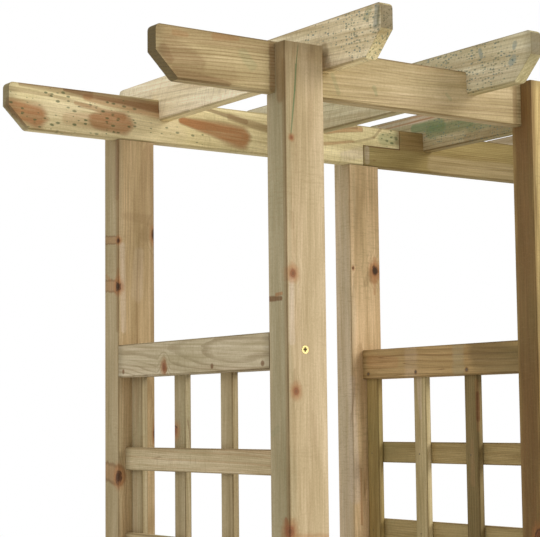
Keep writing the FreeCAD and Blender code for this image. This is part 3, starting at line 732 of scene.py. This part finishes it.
def near(node, places, reach):
    """Whether a box round some places, grown by a reach, meets a CAD node."""
    low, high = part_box(node)
    return all(min(axis) - reach < top and max(axis) + reach > bottom
               for axis, bottom, top in zip(zip(*places), low, high))


def softwood_for(node):
    """The finish of a CAD node. Boards with marks of their own have one to themselves."""
    groups = {"post": "post", "top": "rail", "bottom": "rail", "beam_front": "beam",
              "beam_back": "heart", "lattice_uprights": "panel", "rafter": "sawn"}
    group = next((groups[start] for start in groups if node.startswith(start)), "")
    knots = [knot for knot in in_metres(KNOTS.get(group, ()))
             if near(node, knot[:1], 4 * max(knot[1]))]
    marks = [mark for mark in in_metres(MARKS.get(group, ()))
             if near(node, mark[1:3], 1.3 * max(mark[3]))]
    specks = [spot for spot in in_metres(SPECKS if group in ("sawn", "heart") else ())
              if near(node, spot[:1], max(spot[1]))]
    name = {"sawn": "sawn_timber", "rail": "rail_timber"}.get(group, "planed_timber")
    if knots or marks or specks:
        name += "_" + node
    if group == "rail":
        marks += nail_stains()
    return (bpy.data.materials.get(name)
            or softwood_material(name, knots, marks, specks, group == "sawn"))


def plated_material():
    """Yellow passivated steel, a little uneven, with dirt in the cross of a head."""
    material, g = new_material("yellow_passivated_steel")
    plating = tuple(metal().plating)
    base = g.mix(g.noise(g.place(), 900.0).smooth(0.3, 0.7), plating,
                 tuple(0.7 * part for part in plating))
    recess = g.split(g.attribute("recess"))[0]
    base = g.mix(recess.smooth(0.05, 0.55, 0.0, 0.92), base, RECESS_DIRT)
    g.surface(Base_Color=base, Metallic=0.9, Roughness=0.38)
    return material


def nail_material():
    """Dull nail steel."""
    material, g = new_material("nail_steel")
    base = g.mix(g.noise(g.place(), 1200.0), tuple(metal().nail), NAIL_WORN)
    g.surface(Base_Color=base, Metallic=0.5, Roughness=0.6)
    return material


# Mesh helpers


def triples(data, name):
    """The values of a mesh's collection, as rows of three."""
    values = np.empty(len(data) * 3, np.float32)
    data.foreach_get(name, values)
    return values.reshape(-1, 3).astype(float)


def triangles_of(node):
    """Vertex places and triangles of a CAD node, with vertices at the same place merged."""
    mesh = NODES[node].data
    places = triples(mesh.vertices, "co")
    mesh.calc_loop_triangles()
    corners = np.empty(len(mesh.loop_triangles) * 3, int)
    mesh.loop_triangles.foreach_get("vertices", corners)
    keys = np.round(places * 1e5).astype(int)
    _, first, merged = np.unique(keys, axis=0, return_index=True, return_inverse=True)
    triangles = merged.reshape(-1)[corners].reshape(-1, 3)
    flat = (triangles == np.roll(triangles, 1, axis=1)).any(axis=1)
    return places[first], triangles[~flat]


def solids_of(count, triangles):
    """Number of the solid that each vertex belongs to.

    Each vertex takes the lowest number among its triangles until nothing changes.
    """
    label = np.arange(count)
    while True:
        lowest = label[triangles].min(axis=1)
        renewed = label.copy()
        np.minimum.at(renewed, triangles.reshape(-1), np.repeat(lowest, 3))
        if (renewed == label).all():
            return np.unique(label, return_inverse=True)[1].reshape(-1)
        label = renewed


def extents(places, solid):
    """Lowest and highest corner of each solid, as two arrays."""
    low = np.full((solid.max() + 1, 3), np.inf)
    high = -low
    np.minimum.at(low, solid, places)
    np.maximum.at(high, solid, places)
    return low, high


def boards_of(node):
    """Lowest and highest corner of each solid of a CAD node."""
    places, triangles = triangles_of(node)
    return extents(places, solids_of(len(places), triangles))


def new_piece(name, places, faces, material):
    """An object of the seat, at the origin, that stays with the fixed body."""
    mesh = bpy.data.meshes.new(name)
    mesh.from_pydata(places, [], faces)
    mesh.update()
    mesh.materials.append(material)
    piece = bpy.data.objects.new(name, mesh)
    bpy.context.scene.collection.objects.link(piece)
    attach(piece, "root")
    return piece


def keep_vectors(mesh, name, values):
    """Stores one vector for each vertex."""
    made = mesh.attributes.new(name, "FLOAT_VECTOR", "POINT")
    made.data.foreach_set("vector", np.ascontiguousarray(values, np.float32).reshape(-1))


def join_flats(mesh):
    """Joins the triangles of each flat face, so that only real edges are left to wear."""
    shape = bmesh.new()
    shape.from_mesh(mesh)
    bmesh.ops.dissolve_limit(shape, angle_limit=FLAT_ANGLE, verts=shape.verts,
                             edges=shape.edges)
    shape.to_mesh(mesh)
    shape.free()


def soften(piece):
    """Wears the cut edges a little, and keeps the large faces flat."""
    worn = piece.modifiers.new("worn edges", "BEVEL")
    worn.width = wood().seam
    worn.segments = 2
    worn.limit_method = "ANGLE"
    worn.angle_limit = SHARP_ANGLE
    piece.data.shade_smooth()
    weighted = piece.modifiers.new("flat faces", "WEIGHTED_NORMAL")
    weighted.weight = 100


def dress_timber(node):
    """Gives a CAD node of timber its wood, with a log of its own for each board.

    A point's grain is its place along the board, moved by a random length, and its place across
    and through the board, measured from the pith, which drifts as it goes along.
    """
    places, triangles = triangles_of(node)
    solid = solids_of(len(places), triangles)
    piece = new_piece("wood_" + node, places, triangles, softwood_for(node))
    mesh = piece.data
    keep_vectors(mesh, "number", np.column_stack([solid, solid, solid]))
    join_flats(mesh)
    places = triples(mesh.vertices, "co")
    solid = np.rint(triples(mesh.attributes["number"].data, "vector")[:, 0]).astype(int)
    mesh.attributes.remove(mesh.attributes["number"])
    low, high = extents(places, solid)
    count, middle = len(low), (low + high) / 2
    order = np.argsort(high - low, axis=1)[:, ::-1]
    size = np.take_along_axis(high - low, order, axis=1)

    chance = np.random.default_rng([ord(letter) for letter in node])
    side = np.where(chance.random((count, 2)) < 0.5, -1.0, 1.0)
    pith = side * (chance.uniform(0.25, 0.9, (count, 2)) * size[:, 1:] + 0.012)
    drift = chance.uniform(-0.02, 0.02, (count, 2))
    gap = chance.uniform(0.6, 1.2, count)
    finish = np.column_stack([chance.random(count) ** 4 * 0.5, chance.random(count) * 0.4,
                              chance.random(count) ** 2 * 0.3])
    rings = chance.uniform(0.40, 0.85, count)
    knots = chance.uniform(0.4, 0.9, count)
    value = chance.uniform(0.86, 1.04, count)
    warm = chance.uniform(0.0, 1.0, count)
    tint = np.column_stack([value, value * (1 - 0.05 * warm), value * (1 - 0.14 * warm)])
    end_tone = chance.uniform(0.5, 0.9, count)

    log = LOGS.get(node)
    if log:
        pith[:], drift[:], gap[:], finish[:], rings[:], tint[:] = log
        knots[:] = KNOWN_BOARD_KNOTS
    elif node in TINTS:
        tint[np.argsort(middle @ (0.1, 1.0, 10.0))] = TINTS[node]
    elif node.endswith("_right_inner") or "right_outer" in node:
        tint *= RIGHT_TOWER
    if node.startswith("rafter"):
        finish[:, 2] = np.maximum(finish[:, 2], SAWN_GREY)
    for start, tone in END_TONES.items():
        if node.startswith(start):
            end_tone[:] = tone

    local = np.take_along_axis(places - middle[solid], order[solid], axis=1)
    across = local[:, 1:] - pith[solid] - drift[solid] * local[:, :1]
    along = local[:, 0] + chance.uniform(1.0, 30.0, count)[solid]
    board = np.column_stack([chance.random(count), gap * wood().ring_gap, rings])
    extra = np.column_stack([knots, end_tone, size[:, 0] / 2])
    for name, values in (("grain", np.column_stack([along, across])), ("board", board[solid]),
                         ("finish", finish[solid]), ("tint", tint[solid]), ("local", local),
                         ("extra", extra[solid]), ("axis", np.eye(3)[order[:, 0]][solid])):
        keep_vectors(mesh, name, values)
    soften(piece)
    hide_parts(node)


def dress_all(*beginnings):
    """Dresses every CAD node whose name starts with one of the words."""
    found = sorted(name for name in NODES if name.startswith(beginnings))
    if not found:
        raise RuntimeError("no CAD node starts with " + " or ".join(beginnings))
    for name in found:
        dress_timber(name)


def cross_head(radius, depth, sides, steps):
    """Face of a countersunk screw head at the origin, looking along +Z, and its cone below.

    A grid of angle and radius. The height is zero but for a cross, whose depth falls off with
    the distance from its two bars. The last ring is the neck under the cone.
    """
    angle = np.arange(sides) * 2 * pi / sides
    share = np.linspace(0.0, 1.0, steps)[1:]
    grid_r, grid_a = np.meshgrid(share * radius, angle, indexing="ij")
    x, y = grid_r * np.cos(grid_a), grid_r * np.sin(grid_a)
    bar = np.minimum(np.abs(x), np.abs(y)) / (CROSS_BAR * radius)
    taper = np.clip(1 - (grid_r / (CROSS_REACH * radius)) ** 2, 0, 1)
    z = -depth * taper * np.clip(1.6 - bar, 0, 1)
    places = np.column_stack([x.ravel(), y.ravel(), z.ravel()])
    neck = np.column_stack([NECK * radius * np.cos(angle), NECK * radius * np.sin(angle),
                            np.full(sides, -CONE * radius)])
    places = np.vstack([[0, 0, -depth], places, neck, [0, 0, -CONE * radius]])
    ring = np.arange(sides)
    ahead = (ring + 1) % sides
    inner = np.arange(steps - 1)[:, None] * sides + 1
    quads = np.stack([inner + ring, inner + sides + ring, inner + sides + ahead, inner + ahead],
                     axis=-1).reshape(-1, 4)
    centre = np.column_stack([np.zeros(sides, int), 1 + ring, 1 + ahead])
    last = 1 + (steps - 1) * sides
    under = np.column_stack([last + ahead, last + ring, np.full(sides, len(places) - 1)])
    return places, centre.tolist() + quads.tolist() + under.tolist()


def add_heads(name, spots, normals, radius, sides, steps, seed=None):
    """Equal heads at many spots, each turned so that its +Z is the normal there.

    With a seed the heads are plated and have a cross, turned by chance. How far down the cross
    each vertex lies is stored, from 0 to 1.
    """
    plated = seed is not None
    depth = metal().recess_depth if plated else 0.0
    turns = np.zeros(len(spots))
    if plated:
        turns = np.random.default_rng(seed).uniform(0, pi, len(spots))
    shape, faces = cross_head(radius, depth, sides, steps)
    every, all_faces = [], []
    for index, (spot, normal, turn) in enumerate(zip(spots, normals, turns)):
        upright = Vector(normal).to_track_quat("Z", "Y").to_matrix()
        every.append(shape @ np.array(upright @ Matrix.Rotation(turn, 3, "Z")).T + spot)
        all_faces += [[corner + index * len(shape) for corner in face] for face in faces]
    finish, make = (("yellow_passivated_steel", plated_material) if plated
                    else ("nail_steel", nail_material))
    piece = new_piece(name, np.vstack(every), all_faces, bpy.data.materials.get(finish) or make())
    if plated:
        deep = np.clip(-shape[:, 2] / max(depth, 1e-6), 0.0, 1.0)
        keep_vectors(piece.data, "recess", np.tile(deep[:, None], (len(spots), 3)))
    return piece


def along_laths(uprights, levels, face, inward, offset=(0.0, 0.0, 0.0)):
    """Place and direction of a head on each upright lath at each level, just off a face."""
    low, high = uprights
    return [(np.array((face + inward * NAIL_LIFT, y, z)) + offset, (inward, 0.0, 0.0))
            for y in (low[:, 1] + high[:, 1]) / 2 for z in levels]


def dress_screws(node, name):
    """Yellow screw heads with a cross, in place of the plain screws of a CAD node.

    A screw lies along an axis, and its head is at the end whose vertices are widest apart.
    """
    places, triangles = triangles_of(node)
    solid = solids_of(len(places), triangles)
    spots, normals = [], []
    for number in range(solid.max() + 1):
        own = places[solid == number]
        axis = np.ptp(own, axis=0).argmax()
        ends = own[:, axis].min(), own[:, axis].max()
        wide = [np.ptp(own[np.abs(own[:, axis] - end) < 1e-4], axis=0).max() for end in ends]
        side = int(wide[1] > wide[0])
        normal = np.zeros(3)
        normal[axis] = 1.0 if side else -1.0
        middle = (own.min(axis=0) + own.max(axis=0)) / 2
        middle[axis] = ends[side]
        spots.append(middle + SCREW_LIFT * normal)
        normals.append(normal)
    piece = add_heads(name, spots, normals, SCREW_RADIUS, 36, 14, seed=11)
    piece.data.shade_smooth()
    piece.data.set_sharp_from_angle(angle=SHARP_ANGLE)
    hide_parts(node)


# Operators


class ARBOUR_OT_posts(bpy.types.Operator):
    """Dress the eight posts"""
    bl_idname = "arbour.posts"
    bl_label = "Posts"

    def execute(self, context):
        dress_all("post_")
        return {"FINISHED"}


class ARBOUR_OT_beams(bpy.types.Operator):
    """Dress the front and back beams"""
    bl_idname = "arbour.beams"
    bl_label = "Beams"

    def execute(self, context):
        dress_all("beam_")
        return {"FINISHED"}


class ARBOUR_OT_rafters(bpy.types.Operator):
    """Dress the rafters"""
    bl_idname = "arbour.rafters"
    bl_label = "Rafters"

    def execute(self, context):
        dress_all("rafter_")
        return {"FINISHED"}


class ARBOUR_OT_lattice(bpy.types.Operator):
    """Dress the rails and laths of the lattice panels"""
    bl_idname = "arbour.lattice"
    bl_label = "Lattice"

    def execute(self, context):
        dress_all("top_rail", "bottom_rail", "lattice_uprights", "lattice_cross")
        return {"FINISHED"}


class ARBOUR_OT_planters(bpy.types.Operator):
    """Dress the planters"""
    bl_idname = "arbour.planters"
    bl_label = "Planters"

    def execute(self, context):
        dress_all("planter_")
        return {"FINISHED"}


class ARBOUR_OT_bench(bpy.types.Operator):
    """Dress the seat and the backrest"""
    bl_idname = "arbour.bench"
    bl_label = "Bench"

    def execute(self, context):
        dress_all("seat_", "backrest_")
        return {"FINISHED"}


class ARBOUR_OT_screws(bpy.types.Operator):
    """Put cross-headed screws in place of the plain ones"""
    bl_idname = "arbour.screws"
    bl_label = "Screws"

    def execute(self, context):
        dress_screws("long_screws", "long_screw_heads")
        dress_screws("short_screws", "short_screw_heads")
        return {"FINISHED"}


class ARBOUR_OT_nails(bpy.types.Operator):
    """Add a nail head in each rail for each upright lath"""
    bl_idname = "arbour.nails"
    bl_label = "Nails"

    def execute(self, context):
        nails = []
        for panel in PANELS:
            uprights = boards_of("lattice_uprights_" + panel)
            top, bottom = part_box("top_rail_" + panel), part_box("bottom_rail_" + panel)
            inward = 1.0 if panel in ("left_outer", "right_inner") else -1.0
            face = top[1].x if inward > 0 else top[0].x
            nails += along_laths(uprights, nail_levels(top, bottom), face, inward)
        add_heads("lattice_nail_heads", *zip(*nails), NAIL_RADIUS, 16, 3)
        return {"FINISHED"}


class ARBOUR_OT_brads(bpy.types.Operator):
    """Add a small brad wherever two laths of a panel cross"""
    bl_idname = "arbour.brads"
    bl_label = "Brads"

    def execute(self, context):
        brads = []
        for panel in PANELS:
            low, high = boards_of("lattice_uprights_" + panel)
            cross_low, cross_high = boards_of("lattice_cross_laths_" + panel)
            inward = np.sign(low[0, 0] - cross_low[0, 0])
            face = high[0, 0] if inward > 0 else low[0, 0]
            brads += along_laths((low, high), (cross_low[:, 2] + cross_high[:, 2]) / 2, face,
                                 inward, BRAD_OFFSET)
        add_heads("lattice_brad_heads", *zip(*brads), BRAD_RADIUS, 10, 2)
        return {"FINISHED"}


class ARBOUR_OT_seat_screws(bpy.types.Operator):
    """Add two screw heads where each seat slat crosses a bearer"""
    bl_idname = "arbour.seat_screws"
    bl_label = "Seat screws"

    def execute(self, context):
        low, high = boards_of("seat_slats")
        bearer_low, bearer_high = boards_of("seat_bearers")
        spots = [np.array((x, y, high[0, 2] + SCREW_LIFT))
                 for x in (bearer_low[:, 0] + bearer_high[:, 0]) / 2
                 for start, end in zip(low[:, 1], high[:, 1])
                 for y in (start + 0.25 * (end - start), end - 0.25 * (end - start))]
        add_heads("seat_screw_heads", spots, [(0.0, 0.0, 1.0)] * len(spots), SEAT_SCREW_RADIUS,
                  24, 9, seed=5)
        return {"FINISHED"}


class ARBOUR_OT_stage(bpy.types.Operator):
    """Floor, lamps, white room and the photograph's camera"""
    bl_idname = "arbour.stage"
    bl_label = "Stage"

    def execute(self, context):
        settings = context.scene.arbour_stage
        make_floor()
        make_room(settings.sky)
        make_lamp("key lamp", *KEY_LAMP, settings.key)
        make_lamp("side lamp", *SIDE_LAMP, settings.side)
        make_camera()
        context.scene.view_settings.view_transform = "Standard"
        return {"FINISHED"}


def background_rays(g):
    """1 for rays that show the background: straight, mirrored and through glass."""
    outputs = g.node("ShaderNodeLightPath").outputs
    camera, glossy, through = (Wire(g, outputs["Is %s Ray" % kind])
                               for kind in ("Camera", "Glossy", "Transmission"))
    return camera.larger(glossy.larger(through))


def make_floor():
    """A pale round floor that fades to the white background away from the seat."""
    bpy.ops.mesh.primitive_circle_add(vertices=96, radius=FLOOR_RADIUS, fill_type="NGON",
                                      location=(0, 0, -FLOOR_GAP))
    floor = bpy.context.object
    floor.name = "studio_floor"
    material, g = new_material("pale_floor")
    matt = g.add("ShaderNodeBsdfDiffuse", [(FLOOR_GREY, FLOOR_GREY, FLOOR_GREY, 1.0)])
    far = g.vector("LENGTH", g.place()).smooth(*FLOOR_FADE)
    g.show(g.add("ShaderNodeMixShader", (far * background_rays(g), matt,
                                         g.add("ShaderNodeEmission"))))
    floor.data.materials.append(material)
    floor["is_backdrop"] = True


def make_room(strength):
    """A white room: it lights the seat at its strength and shows as plain white."""
    world = bpy.data.worlds.new("white_room")
    world.use_nodes = True
    bpy.context.scene.world = world
    g = Graph(world.node_tree)
    level = background_rays(g) * (1.0 - strength) + strength
    g.show(g.add("ShaderNodeBackground", ((1.0, 1.0, 1.0, 1.0), level)), "World")


def make_lamp(name, place, target, size, energy):
    """A large square lamp that looks at a target."""
    lamp = bpy.data.lights.new(name, "AREA")
    lamp.size = size
    lamp.energy = energy
    thing = bpy.data.objects.new(name, lamp)
    thing.location = place
    direction = Vector(target) - Vector(place)
    thing.rotation_euler = direction.to_track_quat("-Z", "Y").to_euler()
    bpy.context.scene.collection.objects.link(thing)
    thing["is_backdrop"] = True


def make_camera():
    """The photograph's camera: yaw from +Y towards +X, pitch upwards and roll."""
    ahead = Vector((sin(CAMERA_YAW) * cos(CAMERA_PITCH), cos(CAMERA_YAW) * cos(CAMERA_PITCH),
                    sin(CAMERA_PITCH)))
    level_right = Vector((cos(CAMERA_YAW), -sin(CAMERA_YAW), 0.0))
    level_up = level_right.cross(ahead)
    right = cos(CAMERA_ROLL) * level_right + sin(CAMERA_ROLL) * level_up
    up = cos(CAMERA_ROLL) * level_up - sin(CAMERA_ROLL) * level_right
    lens = bpy.data.cameras.new("camera")
    lens.sensor_width = SENSOR_WIDTH
    lens.lens = FOCAL_PIXELS * SENSOR_WIDTH / IMAGE_WIDTH
    lens.clip_end = 100.0
    camera = bpy.data.objects.new("camera", lens)
    turn = Matrix((right, up, -ahead)).transposed()
    camera.matrix_world = Matrix.Translation(CAMERA_PLACE) @ turn.to_4x4()
    bpy.context.scene.collection.objects.link(camera)
    bpy.context.scene.camera = camera


class ARBOUR_PT_panel(bpy.types.Panel):
    """Arbour seat in the sidebar"""
    bl_idname = "ARBOUR_PT_panel"
    bl_label = "Arbour seat"
    bl_space_type = "VIEW_3D"
    bl_region_type = "UI"
    bl_category = "Arbour"

    def draw(self, context):
        for settings in (context.scene.arbour_wood, context.scene.arbour_metal,
                         context.scene.arbour_stage):
            box = self.layout.box()
            for name in settings.bl_rna.properties.keys():
                if name not in ("rna_type", "name"):
                    box.prop(settings, name)
        for operator in OPERATORS:
            self.layout.operator(operator.bl_idname)


OPERATORS = (ARBOUR_OT_posts, ARBOUR_OT_beams, ARBOUR_OT_rafters, ARBOUR_OT_lattice,
             ARBOUR_OT_planters, ARBOUR_OT_bench, ARBOUR_OT_screws, ARBOUR_OT_nails,
             ARBOUR_OT_brads, ARBOUR_OT_seat_screws, ARBOUR_OT_stage)
CLASSES = (ArbourWood, ArbourMetal, ArbourStage, *OPERATORS, ARBOUR_PT_panel)


def register():
    for item in CLASSES:
        bpy.utils.register_class(item)
    bpy.types.Scene.arbour_wood = PointerProperty(type=ArbourWood)
    bpy.types.Scene.arbour_metal = PointerProperty(type=ArbourMetal)
    bpy.types.Scene.arbour_stage = PointerProperty(type=ArbourStage)


def unregister():
    del bpy.types.Scene.arbour_wood
    del bpy.types.Scene.arbour_metal
    del bpy.types.Scene.arbour_stage
    for item in reversed(CLASSES):
        bpy.utils.unregister_class(item)


def corners():
    """Lowest and highest corner of what shows, as plain lists."""
    return [list(corner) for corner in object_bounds()]


def main():
    register()
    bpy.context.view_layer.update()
    bpy.ops.arbour.posts()
    bpy.ops.arbour.beams()
    bpy.ops.arbour.rafters()
    bpy.ops.arbour.lattice()
    bpy.ops.arbour.planters()
    bpy.ops.arbour.bench()
    bpy.ops.arbour.screws()
    bpy.ops.arbour.nails()
    bpy.ops.arbour.brads()
    bpy.ops.arbour.seat_screws()
    bpy.ops.arbour.stage()


if __name__ == "__main__":
    main()
